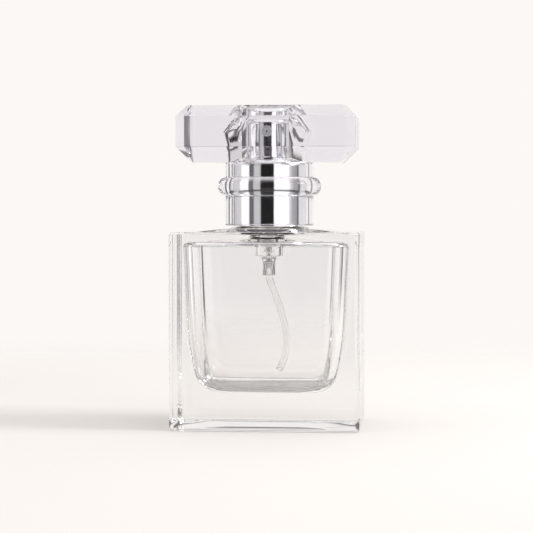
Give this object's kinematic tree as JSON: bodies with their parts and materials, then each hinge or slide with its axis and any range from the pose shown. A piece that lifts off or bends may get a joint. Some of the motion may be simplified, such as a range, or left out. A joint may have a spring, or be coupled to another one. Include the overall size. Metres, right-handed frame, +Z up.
{
  "type": "spray bottle",
  "caption": "Square clear glass spray bottle with a crimped pump, bright collar and push button, and a clear bar-shaped overcap on a round skirt.",
  "frame": {"origin": "middle of the flat base, on the surface it stands on", "axes": "+Z up along the neck, +X along the wide face, the nozzle and the wide front face look along -Y"},
  "size_m": [0.045, 0.03, 0.0768],
  "materials": {
    "clear_glass": "fire-polished, clear",
    "clear_plastic": "clear, polished",
    "bright_metal": "mirror-bright",
    "ferrule_aluminium": "satin",
    "spring_steel": "drawn",
    "natural_plastic": "natural, slightly see-through",
    "tube_plastic": "see-through",
    "white_plastic": "smooth",
    "nozzle_plastic": "smooth",
    "grey_rubber": "matt"
  },
  "bodies": {
    "bottle": {"glass_bottle": "clear_glass", "neck_gasket": "grey_rubber", "crimp_ferrule": "ferrule_aluminium", "collar_liner": "white_plastic", "collar_shell": "bright_metal", "pump_housing": "natural_plastic", "pump_turret": "natural_plastic", "stem_seal": "grey_rubber", "spring_seat": "natural_plastic", "return_spring": "spring_steel", "dip_tube": "tube_plastic"},
    "plunger": {"spray_stem": "white_plastic", "pump_piston": "white_plastic", "valve_rod": "white_plastic"},
    "spray_head": {"spray_button": "white_plastic", "button_shell": "bright_metal", "nozzle_insert": "nozzle_plastic"},
    "overcap": {"overcap": "clear_plastic"},
    "check_ball": {"check_ball": "spring_steel"}
  },
  "joints": [
    {"name": "cap_lift", "type": "slide", "parent": "bottle", "child": "overcap", "axis": [0, 0, 1], "range_m": [0, 0.03]},
    {"name": "head_press", "type": "slide", "parent": "bottle", "child": "plunger", "axis": [0, 0, -1], "range_m": [0, 0.0035], "stiffness_N_per_m": 1500, "springref_m": -0.0015, "deforming": ["return_spring"]},
    {"name": "head_turn", "type": "hinge", "parent": "plunger", "child": "spray_head", "pos_m": [0, 0, 0.066], "axis": [0, 0, 1], "continuous": true},
    {"name": "ball_lift", "type": "slide", "parent": "bottle", "child": "check_ball", "axis": [0, 0, 1], "range_m": [0, 0.0006]}
  ]
}
